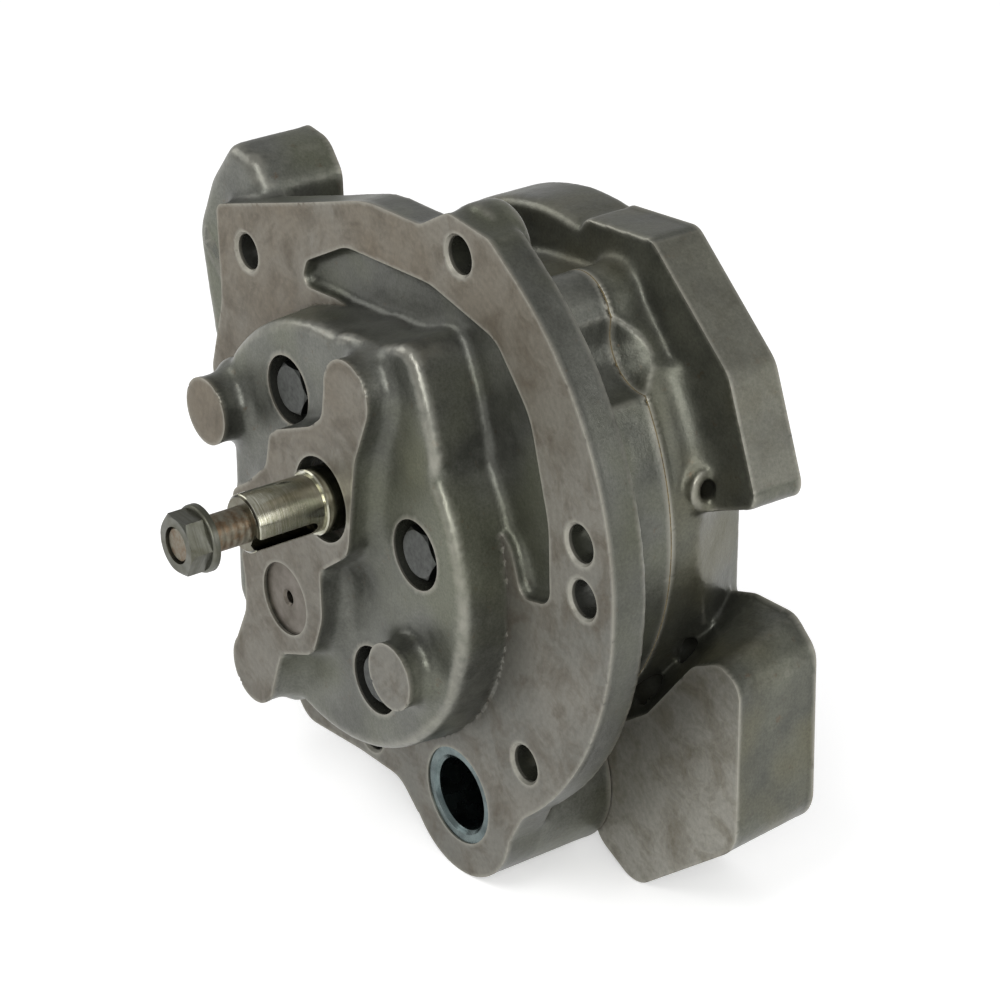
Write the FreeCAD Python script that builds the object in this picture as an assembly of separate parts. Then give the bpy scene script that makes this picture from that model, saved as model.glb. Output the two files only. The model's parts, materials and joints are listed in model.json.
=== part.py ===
"""Hydraulic gear pump: two cast-iron housings, an external gear pair and its bearings, seals and fasteners.

Frame: millimetres, +Z up. The pump's axis is Y and the drive shaft points towards -Y.
The origin is the centre of the mounting bolt circle, on the flange's front face.
An outline is a list of (x, z, corner radius), taken in the plane across the pump's axis.
"""
import FreeCAD, Part
import os
from math import acos, cos, pi, radians, sin, sqrt, tan

Vector = FreeCAD.Vector
FORWARD = Vector(0, -1, 0)
BACK = Vector(0, 1, 0)
RIGHT = Vector(1, 0, 0)
PAST = 1.0                   # how far a cutter runs on past the surface it opens
SUNK = 0.5                   # how far a joined piece is sunk into its neighbour

# ---- driving dimensions -------------------------------------------------------------------------
# stations along the axis
hub_height = 32.0            # mounting face to the machined hub face
hub_step = 20.0              # mounting face to the as-cast shoulder that carries the bolt pockets
flange_thickness = 15.5
front_length = 48.0          # mounting face to the joint between the two housings
gasket_thickness = 0.5
rear_plate_start = 65.5      # where the rear casting opens out into its round plate
rear_length = 94.6           # mounting face to the rearmost face
port_face_depth = 87.4       # mounting face to the machined port faces of the rear casting

# mounting flange
flange_radius = 131.4
bolt_circle = 228.6
mount_hole = 14.3
mount_hole_angles = [146.7, 68.3, 11.1, 0.7, -44.6, -98.5]
ear_angle = 68.3             # the fixing hole whose ear is thicker
ear_radius = 17.0
ear_thickness = 22.0
spot_face = 23.0             # clears a bolt head behind the fixing hole that runs down the delivery lug
spot_face_angle = 146.7
chamfer = 1.0

# gear pair
drive_x, drive_z = 0.0, 4.5
module = 4.5
teeth = 13
pressure_angle = 25.0
mesh_direction = -116.7      # from the drive axis to the idler axis
gear_width = 28.0
backlash = 0.12
side_clearance = 0.05
tip_clearance = 0.10
plate_thickness = 4.0
plate_clearance = 0.05
root_depth = 1.25            # dedendum, in modules
flank_points = 9

# shafts and bearings
shaft_diameter = 25.0
journal_diameter = 22.2      # the free end that carries the driving gear
journal_front = 66.0         # mounting face to the journal's front end
journal_shoulder = 37.0      # mounting face to the shoulder behind the journal
stud_diameter = 14.0         # the threaded tail in front of the journal
stud_front = 93.0
keyway_width = 6.35
keyway_depth = 3.4
keyway_end = 40.0
keyway_angle = -28.0
key_angle = 60.0             # where the drive gear's own key lies, under a tooth
key_end_room = 3.0
bush_wall = 2.5
bush_length = 24.0
running_clearance = 0.05
shaft_end_room = 3.0
shaft_set_back = 0.5         # a shaft's end lies that far inside its bush
shaft_end_step = 2.0         # the relief behind each shaft's end is that much smaller in radius

# shaft nut
nut_flats = 20.6
nut_height = 11.0
nut_flange_thickness = 3.0
nut_flange_diameter = 25.4
nut_flange_round = 1.2
nut_front = 94.0

# shaft seal
seal_bore = 33.0
seal_width = 7.0
seal_seat = 16.0             # mounting face to the shoulder that the seal rests on
ring_thickness = 1.5
ring_groove_depth = 1.0
ring_lip = 1.5               # how far the retaining ring stands into the seal's bore
ring_gap = 7.0
case_wall = 1.2
case_gap = 1.6               # from the shaft to the case's inward flange
lip_thickness = 1.4
lip_reach = 3.4
spring_wire = 0.45           # radius of the garter spring's coil

# idler bore plug
plug_diameter = 29.0
plug_length = 9.0
plug_recess = 1.6
plug_tapped_hole = 5.0
plug_shoulder = 2.0
plug_ring = 2.4
plug_land = 4.0              # in front of the ring's groove
plug_floor = 3.0             # left behind the tapped hole

# housing bolts
bolt_diameter = 12.0
bolt_length = 80.0
bolt_flats = 18.0
bolt_head = 7.8
bolt_clearance = 0.6
bolt_end_room = 3.0
washer_thickness = 2.0
washer_diameter = 22.0
pocket_diameter = 27.0
pocket_floor = 9.0           # mounting face to the spot-faced floor of each bolt pocket
housing_bolts = [(-38.3, 31.1), (42.4, -4.6), (15.4, -68.2), (-68.0, -35.0)]

# dowels
dowel_diameter = 10.0
dowel_length = 26.0
dowel_end_room = 1.0
dowel_places = [(62.0, 40.0), (-62.0, -75.0)]

# hub bosses on the machined face
boss_places = {"upper_left": (-78.0, 11.0, 13.5), "upper_right": (17.5, 52.0, 13.8),
               "lower_left": (-50.5, -88.5, 14.2), "lower_right": (42.0, -51.0, 13.0)}
hub_centre = (-13.0, -20.0)
hub_radius = 85.0
hub_draft = 1.5
hub_left = -80.0             # the hub's flat left side
tower_wall = 4.0             # casting round the two left bosses, below the shoulder
cast_round = 4.0

# oil bore through the lower lobe of the flange, and the steel sleeve pressed into it
lobe_x, lobe_z = 40.0, -113.6
lobe_radius = 32.5
lobe_floor = 6.0             # iron left behind the oil bore's blind end
sleeve_bore = 29.0
sleeve_wall = 4.8
sleeve_length = 22.0
sleeve_recess = 0.6
sleeve_chamfer = 1.5

# body between the flange and the rear plate
body_radius = 104.0
rear_plate_x, rear_plate_radius = 9.0, 98.5
passage_x, passage_z, passage_radius = 52.0, 76.5, 15.3
relief_x, relief_z, relief_radius = 85.0, 74.0, 18.0     # scooped out of the body beside the passage boss
relief_tip, relief_end = 4.0, 3.0    # the scoop's last radius, and how far it ends in front of the block
waist_start, waist_start_x = 60.0, 104.5     # where the hollow between the two blocks begins
waist_end_x, waist_out = 87.5, 130.0
waist_low, waist_high = -36.0, 13.0
cove = 12.0                  # hollow corner between the rear body's side and the return block
drain_y, drain_z, drain_radius, drain_hole = 64.0, 22.0, 9.0, 8.0
drain_reach = 106.5          # how far out the drain boss stands from the axis
drain_bottom = 80.0          # how far in its hole ends

# port blocks
suction_x, suction_z = 105.0, -82.0
suction_bore = 31.8
suction_pattern = (30.2, 58.7)
return_x, return_z = 88.0, 46.0
return_bore = 19.0
return_pattern = (22.2, 47.6)
delivery_x, delivery_z = -121.0, 48.0
delivery_bore = 19.0
delivery_pattern = (22.2, 47.6)
port_seat_margin = 10.0      # machined seat of a rear port, beyond its tapped holes
port_thread_hole = 8.5
port_thread_depth = 18.0
lug_front = 7.0
lug_back = 44.0
lug_round = 6.0
gallery = 16.0
gallery_wall = 7.0
gallery_depth = 28.5         # mounting face to the delivery way's axis
suction_way_depth = 62.0
return_way = 10.0
return_way_depth = 70.0
return_way_x, return_way_z = 94.0, -72.0     # where the return way breaks into the suction port
delivery_depth = 26.0
suction_depth = 32.0
return_depth = 20.0
window_depth = 24.0
window_radius = 12.0
window_inset = 5.0           # from half the centre distance in to the window's centre

# as-cast recess round the hub
recess_depth = 5.0

# ---- outlines -----------------------------------------------------------------------------------
flange_left = [(-124.5, 3, 10), (-114.7, 36.4, 30), (-116.5, 76, 5), (-54, 96, 60), (-15, 109, 60),
               (19, 110.5, 10), (36, 120.5, 8)]
flange_right = (56.0, -50.0)         # the ends of the flange's round edge, as angles from +X
flange_lower = [(72.5, -118, 0), (40, -113.6, 0), (14, -134, 0), (2, -123.6, 14),
                (-25, -124, 60), (-62, -127, 12), (-90, -96, 40), (-103, -50, 60), (-106, -22, 12)]
body_left = [(-98, 5, 25), (-80, 38, 25), (-35, 68, 40), (10, 80, 40)]
body_right = (43.0, -125.0)          # the ends of the body's round side, as angles from +X
recess_outline = [(-58, 62, 4), (-54, 73, 6), (-28, 87, 20), (25, 90, 30), (64, 82, 16), (84, 60, 30),
                  (95, 22, 40), (96, -9, 7), (79, -13, 5), (73, 4, 8), (60, 14, 12), (44, 34, 20), (38, 60, 14),
                  (14, 64, 14), (-12, 60, 12), (-34, 64, 12)]
island_outline = [(3.9, 52, 0), (30.2, 46.7, 0), (22, 27, 14), (19.2, 5, 20), (17, -12, 12), (-2, -26, 4),
                  (-1, -46, 20), (-8, -64, 12), (-30, -73, 8), (-37, -92, 0), (-63.5, -84, 0), (-54, -64, 12),
                  (-54, -50, 14), (-62, -16, 8), (-50, -8, 8), (-36.5, 4, 8), (-33, 20, 8), (-6, 31.5, 14),
                  (2, 38, 8)]
web_outline = [(-20, 40, 8), (-14, 66, 20), (16, 68, 20), (39, 77, 9), (49, 56, 14), (60, 20, 20), (20, 10, 8)]
lug_outline = [(-135, 8, 8), (-145, 56, 20), (-134, 80, 16), (-119, 99, 8), (-103, 97, 12), (-94, 86, 10),
               (-92, 40, 4), (-100, 8, 6)]
suction_front = [(60, -94, 10), (92, -71, 10), (117, -40, 14), (131, -33, 8), (143, -37, 9), (144, -104, 16),
                 (88, -148, 14), (66, -138, 12), (50, -112, 10)]
suction_back = [(60, -50, 10), (88, -33, 10), (106, -27, 14), (128, -26, 10), (140, -36, 10), (142, -102, 16),
                (88, -146, 14), (66, -136, 12), (50, -108, 10)]
return_outline = [(20, 70, 10), (28, 101, 6), (68, 105, 8), (112, 68, 14), (130, 22, 7), (104, 12, 10),
                  (60, 30, 10)]
cove_outline = [(50, 10, 0), (70, 64, 0), (140, 64, 0), (140, 10, 0)]     # the part of it that the cove runs along


# ---- helpers ------------------------------------------------------------------------------------
def cylinder(x, z, radius, near, far):
    """A round bar along the pump's axis, from one station to the other."""
    return Part.makeCylinder(radius, far - near, Vector(x, near, z), BACK)


def ring(x, z, outer, inner, near, far):
    return cylinder(x, z, outer, near, far).cut(cylinder(x, z, inner, near, far))


def cone(x, z, radius_near, radius_far, near, far):
    return Part.makeCone(radius_near, radius_far, far - near, Vector(x, near, z), BACK)


def wire(corners, station):
    """A closed outline across the axis, with each corner rounded to its own radius."""
    tangents = []
    for i, (x, z, radius) in enumerate(corners):
        here = Vector(x, station, z)
        before = Vector(corners[i - 1][0], station, corners[i - 1][1]) - here
        after = Vector(corners[(i + 1) % len(corners)][0], station, corners[(i + 1) % len(corners)][1]) - here
        before.normalize()
        after.normalize()
        half = acos(max(-1.0, min(1.0, before.dot(after)))) / 2
        if radius == 0 or half > 1.565:
            tangents.append((here, None, here))
            continue
        reach = radius / tan(half)
        middle = before + after
        middle.normalize()
        crown = here + middle * (radius / sin(half) - radius)
        tangents.append((here + before * reach, crown, here + after * reach))
    edges = []
    for i, (start, crown, end) in enumerate(tangents):
        if crown:
            edges.append(Part.Arc(start, crown, end).toShape())
        following = tangents[(i + 1) % len(tangents)][0]
        if end.distanceToPoint(following) > 1e-6:
            edges.append(Part.LineSegment(end, following).toShape())
    return Part.Wire(edges)


def round_side(ends, radius, first, last, pieces):
    """Corners whose roundings join into one arc about the origin, between two angles.

    The straight sides that meet the arc are its tangents; they run out to x = first and x = last,
    each to a corner given as (x, radius).
    """
    def on_tangent(angle, corner):
        x, rounding = corner
        return x, (radius - x * cos(radians(angle))) / sin(radians(angle)), rounding
    start, end = ends
    step = (end - start) / pieces
    reach = radius / cos(radians(step / 2))
    middles = [radians(start + step * (i + 0.5)) for i in range(pieces)]
    return ([on_tangent(start, first)] + [(reach * cos(a), reach * sin(a), radius) for a in middles]
            + [on_tangent(end, last)])


def slab(corners, near, far):
    """A prism along the axis on an outline."""
    return Part.Face(wire(corners, near)).extrude(Vector(0, far - near, 0))


def joined(first, *others):
    return first.multiFuse(list(others)).removeSplitter()


def edges_at(shape, station):
    """The edges that lie whole in the plane at a station."""
    return [e for e in shape.Edges
            if abs(e.BoundBox.YMin - station) < 1e-3 and abs(e.BoundBox.YMax - station) < 1e-3]


def on_circle(angle, diameter):
    return diameter / 2 * cos(radians(angle)), diameter / 2 * sin(radians(angle))


def hexagon(x, z, flats, near, far):
    corner = flats / sqrt(3)
    points = [(x + corner * cos(i * pi / 3), z + corner * sin(i * pi / 3), 0) for i in range(6)]
    return slab(points, near, far)


# ---- worked out from the driving dimensions -----------------------------------------------------
centre_distance = module * teeth
idler_x = drive_x + centre_distance * cos(radians(mesh_direction))
idler_z = drive_z + centre_distance * sin(radians(mesh_direction))
shafts = [(drive_x, drive_z), (idler_x, idler_z)]
mesh_x, mesh_z = (drive_x + idler_x) / 2, (drive_z + idler_z) / 2
tip_radius = module * (teeth / 2 + 1)
pocket_radius = tip_radius + tip_clearance
rear_face = front_length + gasket_thickness
pocket_bottom = rear_face - gear_width - 2 * (plate_thickness + side_clearance)
gear_near = pocket_bottom + plate_thickness + side_clearance
gear_far = gear_near + gear_width
shaft_radius = shaft_diameter / 2
bush_bore = shaft_radius + running_clearance
bush_radius = bush_bore + bush_wall
shaft_far = rear_face + bush_length - shaft_set_back
window_reach = centre_distance / 2 - window_inset
plug_seat = -hub_height + plug_recess + plug_length
head_seat = -pocket_floor - washer_thickness


def across(distance):
    """A point that far from the mesh point, square to the line of centres, positive on the suction side."""
    turn = radians(mesh_direction + 90)
    return mesh_x + distance * cos(turn), mesh_z + distance * sin(turn)


suction_window = across(window_reach)
delivery_window = across(-window_reach)


# ---- castings -----------------------------------------------------------------------------------
def hub_casting():
    """The as-cast hub: a drafted round shoulder, cut flat on its left, with the raised island and bosses."""
    root = recess_depth + SUNK
    base = cone(*hub_centre, hub_radius - hub_draft, hub_radius, -hub_step, root)
    outside = Vector(hub_left - hub_radius, -2 * hub_step, hub_centre[1] - hub_radius)
    base = base.cut(Part.makeBox(hub_radius, 3 * hub_step, 2 * hub_radius, outside))
    towers = [cylinder(x, z, r + tower_wall, -hub_step, root)
              for x, z, r in (boss_places["upper_left"], boss_places["lower_left"])]
    shoulders = [base, slab(web_outline, -hub_step, root)] + towers
    rounded = [shape.makeFillet(cast_round, edges_at(shape, -hub_step)) for shape in shoulders]
    raised = [cylinder(x, z, r, -hub_height, -hub_step) for x, z, r in boss_places.values()]
    island = slab(island_outline, -hub_height, -hub_step)
    return joined(*rounded, island, *raised)


def port_cuts(x, z, bore, pattern, face, depth):
    """A round port in a pad that faces backwards, with four tapped holes round it."""
    cuts = [cylinder(x, z, bore / 2, face - depth, face + PAST)]
    for sx in (-1, 1):
        for sz in (-1, 1):
            cuts.append(cylinder(x + sx * pattern[0] / 2, z + sz * pattern[1] / 2, port_thread_hole / 2,
                                 face - port_thread_depth, face + PAST))
    return cuts


def port_seat(x, z, pattern):
    """The flat that a rear port's pipe flange sits on, let into the round back plate where that stands proud."""
    half_x, half_z = pattern[0] / 2 + port_seat_margin, pattern[1] / 2 + port_seat_margin
    corners = [(x + sx * half_x, z + sz * half_z, port_seat_margin)
               for sx, sz in ((-1, -1), (1, -1), (1, 1), (-1, 1))]
    return slab(corners, port_face_depth, rear_length + PAST)


def drilling(start, end, radius):
    """A round oil way between two points (x, y, z)."""
    line = Vector(*end) - Vector(*start)
    return Part.makeCylinder(radius, line.Length, Vector(*start), line)


def gear_pockets(near, far, radius):
    return [cylinder(drive_x, drive_z, radius, near, far), cylinder(idler_x, idler_z, radius, near, far)]


def body_section(near, far):
    """The body inside the bolt circle: round on the right, with the passage boss on its shoulder."""
    side = round_side(body_right, body_radius, (62.0, 10), (-98.0, 20), 3)
    body = slab(body_left + side, near, far)
    body = body.cut(cylinder(relief_x, relief_z, relief_radius, near - PAST, min(far, rear_face)))
    return joined(body, cylinder(passage_x, passage_z, passage_radius, near, far))


def flange():
    """The flange plate, with the thick ear behind its top fixing hole."""
    edge = round_side(flange_right, flange_radius, (60.0, 6), (80.0, 10), 2)
    plate = slab(flange_left + edge + flange_lower, 0, flange_thickness)
    x, z = on_circle(ear_angle, bolt_circle)
    ear = cylinder(x, z, ear_radius, flange_thickness / 2, ear_thickness)
    return joined(plate, ear.makeFillet(cast_round, edges_at(ear, ear_thickness)))


def mount_hole_cuts():
    """The flange's fixing holes, each with a small lead-in chamfer on the machined face."""
    cuts = []
    for angle in mount_hole_angles:
        x, z = on_circle(angle, bolt_circle)
        cuts.append(cylinder(x, z, mount_hole / 2, -PAST, lug_back + PAST))
        cuts.append(cone(x, z, mount_hole / 2 + chamfer, mount_hole / 2, 0, chamfer))
    x, z = on_circle(spot_face_angle, bolt_circle)
    cuts.append(cylinder(x, z, spot_face / 2, flange_thickness, lug_back + PAST))
    return cuts


def bearing_cuts():
    """Bores for the front bushes, the shaft seal and its ring, and the idler's plug."""
    seal_far = -seal_seat - seal_width
    return [cylinder(drive_x, drive_z, bush_radius, -seal_seat - PAST, pocket_bottom + PAST),
            cylinder(drive_x, drive_z, seal_bore / 2, -hub_height - PAST, -seal_seat),
            cylinder(drive_x, drive_z, seal_bore / 2 + ring_groove_depth, seal_far - ring_thickness, seal_far),
            cylinder(idler_x, idler_z, bush_radius, pocket_bottom - bush_length, pocket_bottom + PAST),
            cylinder(idler_x, idler_z, plug_diameter / 2 - plug_shoulder, plug_seat - PAST, pocket_bottom),
            cylinder(idler_x, idler_z, plug_diameter / 2, -hub_height - PAST, plug_seat)]


def bolt_cuts():
    """The four spot-faced bolt pockets and the clearance holes under them."""
    cuts = []
    for x, z in housing_bolts:
        cuts.append(cylinder(x, z, pocket_diameter / 2, -hub_height - PAST, -pocket_floor))
        cuts.append(cylinder(x, z, (bolt_diameter + bolt_clearance) / 2, -pocket_floor - PAST,
                             front_length + PAST))
    return cuts


def dowel_cuts(joint, way):
    """Blind dowel holes into a joint face; way is -1 for the front housing and +1 for the rear one."""
    near, far = sorted((joint - way * PAST, joint + way * (dowel_length / 2 + dowel_end_room)))
    return [cylinder(x, z, dowel_diameter / 2, near, far) for x, z in dowel_places]


def lobe_cuts():
    """The oil bore down the lower lobe, counterbored for its steel sleeve."""
    return [cylinder(lobe_x, lobe_z, sleeve_bore / 2 + sleeve_wall, -PAST, sleeve_recess + sleeve_length),
            cylinder(lobe_x, lobe_z, sleeve_bore / 2, sleeve_length, front_length - lobe_floor)]


def delivery_line():
    """The two ends of the delivery way's axis, at the gear window and at the port."""
    return ((delivery_window[0], gallery_depth, delivery_window[1]), (delivery_x, gallery_depth, delivery_z))


def front_housing():
    """Mounting flange, hub and gear pockets in one iron casting."""
    lug = slab(lug_outline, lug_front, lug_back)
    lug = lug.makeFillet(lug_round, edges_at(lug, lug_front))
    lobe = cylinder(lobe_x, lobe_z, lobe_radius, 0, front_length)
    arm = drilling(*delivery_line(), gallery / 2 + gallery_wall)
    body = body_section(flange_thickness - PAST, front_length)
    recessed = flange().cut(slab(recess_outline, -PAST, recess_depth))
    casting = joined(recessed, body, lug, lobe, arm, hub_casting())
    windows = [cylinder(x, z, window_radius, gear_near, front_length + PAST)
               for x, z in (suction_window, delivery_window)]
    return casting.cut([drilling(*delivery_line(), gallery / 2)] + windows + mount_hole_cuts()
                       + bearing_cuts() + bolt_cuts() + lobe_cuts()
                       + gear_pockets(pocket_bottom, front_length + PAST, pocket_radius)
                       + dowel_cuts(front_length, -1)
                       + port_cuts(delivery_x, delivery_z, delivery_bore, delivery_pattern, lug_back,
                                   delivery_depth))


def return_cove():
    """A hollow corner that runs the return block's front face out into the body's side."""
    start, end = rear_plate_start - cove, rear_plate_start
    corner = Vector(body_radius + cove, end, 0)
    foot = Vector(body_radius, start, 0)
    middle = Vector(body_radius + cove * (1 - sin(pi / 4)), end - cove * (1 - sin(pi / 4)), 0)
    root = Vector(body_radius - SUNK, end, 0)
    edges = [Part.Arc(foot, middle, corner).toShape(), Part.makeLine(corner, root),
             Part.makeLine(root, Vector(root.x, start, 0)), Part.makeLine(Vector(root.x, start, 0), foot)]
    sweep = Part.Face(Part.Wire(edges)).revolve(Vector(0, 0, 0), BACK, 360)
    return sweep.common(slab(return_outline, start, end)).common(slab(cove_outline, start, end))


def waist():
    """What is cut from the rear casting's right side between its two blocks, deeper towards the back."""
    corners = [(waist_start_x, waist_start), (waist_end_x, rear_length + PAST),
               (waist_out, rear_length + PAST), (waist_out, waist_start)]
    points = [Vector(x, y, waist_low) for x, y in corners]
    return Part.Face(Part.makePolygon(points + points[:1])).extrude(Vector(0, 0, waist_high - waist_low))


def rear_housing():
    """The rear casting: bearing bores, the round back plate and the suction and return port blocks."""
    body = body_section(rear_face, port_face_depth)
    plate = cylinder(rear_plate_x, 0, rear_plate_radius, rear_plate_start, rear_length)
    plate = plate.makeFillet(cast_round, plate.Edges)
    block = Part.makeLoft([wire(suction_front, rear_face), wire(suction_back, port_face_depth)], True, True)
    shoulder = slab(return_outline, rear_plate_start, port_face_depth)
    drain_root = Vector(drain_bottom, drain_y, drain_z)
    drain = Part.makeCylinder(drain_radius, drain_reach - drain_bottom, drain_root, RIGHT)
    run_out = cone(relief_x, relief_z, relief_radius, relief_tip, rear_face, rear_plate_start - relief_end)
    waisted = joined(body, plate, return_cove()).cut([waist(), run_out])
    casting = joined(waisted, block, shoulder, drain)
    bush_end = rear_face + bush_length
    cuts = [cylinder(x, z, bush_radius, rear_face - PAST, bush_end) for x, z in shafts]
    cuts += [cylinder(x, z, shaft_radius - shaft_end_step, bush_end - PAST, bush_end + shaft_end_room)
             for x, z in shafts]
    cuts += [cylinder(x, z, bolt_diameter / 2, rear_face - PAST, head_seat + bolt_length + bolt_end_room)
             for x, z in housing_bolts]
    cuts.append(cylinder(*suction_window, window_radius, rear_face - PAST, rear_face + window_depth))
    level = suction_way_depth
    cuts.append(drilling((suction_window[0], level, suction_window[1]), (suction_x, level, suction_z), gallery / 2))
    level = return_way_depth
    start = (return_x - return_bore / 4, level, return_z)
    cuts.append(drilling(start, (return_way_x, level, return_way_z), return_way / 2))
    cuts += [port_seat(suction_x, suction_z, suction_pattern), port_seat(return_x, return_z, return_pattern)]
    cuts += port_cuts(suction_x, suction_z, suction_bore, suction_pattern, port_face_depth, suction_depth)
    cuts += port_cuts(return_x, return_z, return_bore, return_pattern, port_face_depth, return_depth)
    drain_length = drain_reach + PAST - drain_bottom - drain_radius
    drain_end = Vector(drain_bottom + drain_radius, drain_y, drain_z)
    cuts.append(Part.makeCylinder(drain_hole / 2, drain_length, drain_end, RIGHT))
    return casting.cut(cuts + dowel_cuts(rear_face, 1))


# ---- bearings, plates and seals -----------------------------------------------------------------
def bush(x, z, near):
    return ring(x, z, bush_radius, bush_bore, near, near + bush_length)


def wear_plate(near):
    """A figure-of-eight plate that closes one end of the gear pockets."""
    outer = joined(*gear_pockets(near, near + plate_thickness, pocket_radius - plate_clearance))
    return outer.cut(gear_pockets(near - PAST, near + plate_thickness + PAST, bush_bore))


def joint_gasket():
    """The thin gasket between the housings, open over the gear pockets and every hole."""
    sheet = body_section(front_length, rear_face)
    near, far = front_length - PAST, rear_face + PAST
    holes = gear_pockets(near, far, pocket_radius + plate_clearance)
    holes += [cylinder(x, z, window_radius, near, far) for x, z in (suction_window, delivery_window)]
    holes += [cylinder(x, z, (bolt_diameter + bolt_clearance) / 2, near, far) for x, z in housing_bolts]
    holes += [cylinder(x, z, dowel_diameter / 2, near, far) for x, z in dowel_places]
    return sheet.cut(holes)


def turned(profile, x, z):
    """A full turn about the axis through (x, z) of a profile given as (station, radius) points."""
    points = [Vector(x + radius, station, z) for station, radius in profile]
    face = Part.Face(Part.makePolygon(points + points[:1]))
    return face.revolve(Vector(x, 0, z), BACK, 360)


def seal_case():
    """The seal's pressed steel case: an outer shell with an inward flange on its front side."""
    near, far = -seal_seat - seal_width, -seal_seat
    outer, inner = seal_bore / 2, shaft_radius + case_gap
    return turned([(near, outer), (far, outer), (far, outer - case_wall), (near + case_wall, outer - case_wall),
                   (near + case_wall, inner), (near, inner)], drive_x, drive_z)


def seal_lip():
    """The rubber lip, bonded inside the case and just touching the shaft."""
    near = -seal_seat - seal_width + case_wall
    bore, touch = seal_bore / 2 - case_wall, shaft_radius + running_clearance
    edge, end = near + lip_thickness, near + lip_reach
    return turned([(near, touch + lip_thickness / 2), (edge, touch), (end, touch + lip_thickness / 2),
                   (end, touch + lip_thickness), (edge, touch + lip_thickness * 1.2), (edge, bore), (near, bore)],
                  drive_x, drive_z)


def seal_spring():
    """The garter spring that presses the lip, as the ring its coils fill."""
    hoop_radius = shaft_radius + running_clearance + lip_thickness * 1.2 + spring_wire
    station = -seal_seat - seal_width + case_wall + lip_thickness + spring_wire + running_clearance
    return Part.makeTorus(hoop_radius, spring_wire, Vector(drive_x, station, drive_z), BACK)


def retaining_ring():
    """The internal ring in front of the seal, open over a small gap."""
    outer = seal_bore / 2 + ring_groove_depth
    far = -seal_seat - seal_width
    hoop = ring(drive_x, drive_z, outer, seal_bore / 2 - ring_lip, far - ring_thickness, far)
    corner = Vector(drive_x - ring_gap / 2, far - ring_thickness - PAST, drive_z - outer - PAST)
    return hoop.cut(Part.makeBox(ring_gap, ring_thickness + 2 * PAST, outer, corner))


def bore_plug():
    """The plug that closes the idler's bore, grooved for its ring and tapped for a puller."""
    near, radius = plug_seat - plug_length, plug_diameter / 2
    body = cylinder(idler_x, idler_z, radius, near, plug_seat)
    groove_near, groove_far = near + plug_land, near + plug_land + plug_ring
    groove = ring(idler_x, idler_z, radius + PAST, radius - plug_ring, groove_near, groove_far)
    tapped = cylinder(idler_x, idler_z, plug_tapped_hole / 2, near - PAST, plug_seat - plug_floor)
    mouth = cone(idler_x, idler_z, plug_tapped_hole / 2 + chamfer, plug_tapped_hole / 2, near, near + chamfer)
    return body.cut([groove, tapped, mouth])


def plug_o_ring():
    near, radius = plug_seat - plug_length, plug_diameter / 2
    return ring(idler_x, idler_z, radius, radius - plug_ring, near + plug_land, near + plug_land + plug_ring)


def port_sleeve():
    """The steel sleeve pressed into the oil bore, with a chamfered mouth."""
    outer, inner = sleeve_bore / 2 + sleeve_wall, sleeve_bore / 2
    far = sleeve_recess + sleeve_length
    tube = ring(lobe_x, lobe_z, outer, inner, sleeve_recess, far)
    mouth = cone(lobe_x, lobe_z, inner + sleeve_chamfer, inner, sleeve_recess, sleeve_recess + sleeve_chamfer)
    return tube.cut(mouth)


# ---- fasteners ----------------------------------------------------------------------------------
def housing_bolt(x, z):
    """A hexagon bolt with a chamfered head, its shank running back through both housings."""
    shank = cylinder(x, z, bolt_diameter / 2, head_seat, head_seat + bolt_length)
    shank = shank.makeChamfer(chamfer, edges_at(shank, head_seat + bolt_length))
    near = head_seat - bolt_head
    crown = cone(x, z, bolt_flats / 2, bolt_flats / 2 + bolt_head * sqrt(3), near, head_seat)
    return joined(hexagon(x, z, bolt_flats, near, head_seat).common(crown), shank)


def washer(x, z):
    inner = (bolt_diameter + bolt_clearance) / 2
    return ring(x, z, washer_diameter / 2, inner, head_seat, head_seat + washer_thickness)


def dowel(x, z):
    middle = (front_length + rear_face) / 2
    pin = cylinder(x, z, dowel_diameter / 2, middle - dowel_length / 2, middle + dowel_length / 2)
    return pin.makeChamfer(chamfer / 2, edges_at(pin, middle - dowel_length / 2)
                           + edges_at(pin, middle + dowel_length / 2))


# ---- shafts and gears ---------------------------------------------------------------------------
def keyway(angle, radius, depth, width, near, far):
    """A milled slot along a shaft, on the side that faces the given angle, with a round far end."""
    slot = Part.makeBox(2 * depth, far - near - width / 2, width, Vector(radius - depth, near, -width / 2))
    end = Part.makeCylinder(width / 2, 2 * depth, Vector(radius - depth, far - width / 2, 0), RIGHT)
    cutter = slot.fuse(end)
    cutter.rotate(Vector(0, 0, 0), FORWARD, angle)
    cutter.translate(Vector(drive_x, 0, drive_z))
    return cutter


def gear_key_shape():
    """The square key between the drive gear and its shaft, sunk to its own depth in the shaft."""
    near, far = gear_near + key_end_room, gear_far - key_end_room
    corner = Vector(shaft_radius - keyway_depth, near, -keyway_width / 2)
    key = Part.makeBox(keyway_width, far - near, keyway_width, corner)
    key.rotate(Vector(0, 0, 0), FORWARD, key_angle)
    key.translate(Vector(drive_x, 0, drive_z))
    return key


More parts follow.
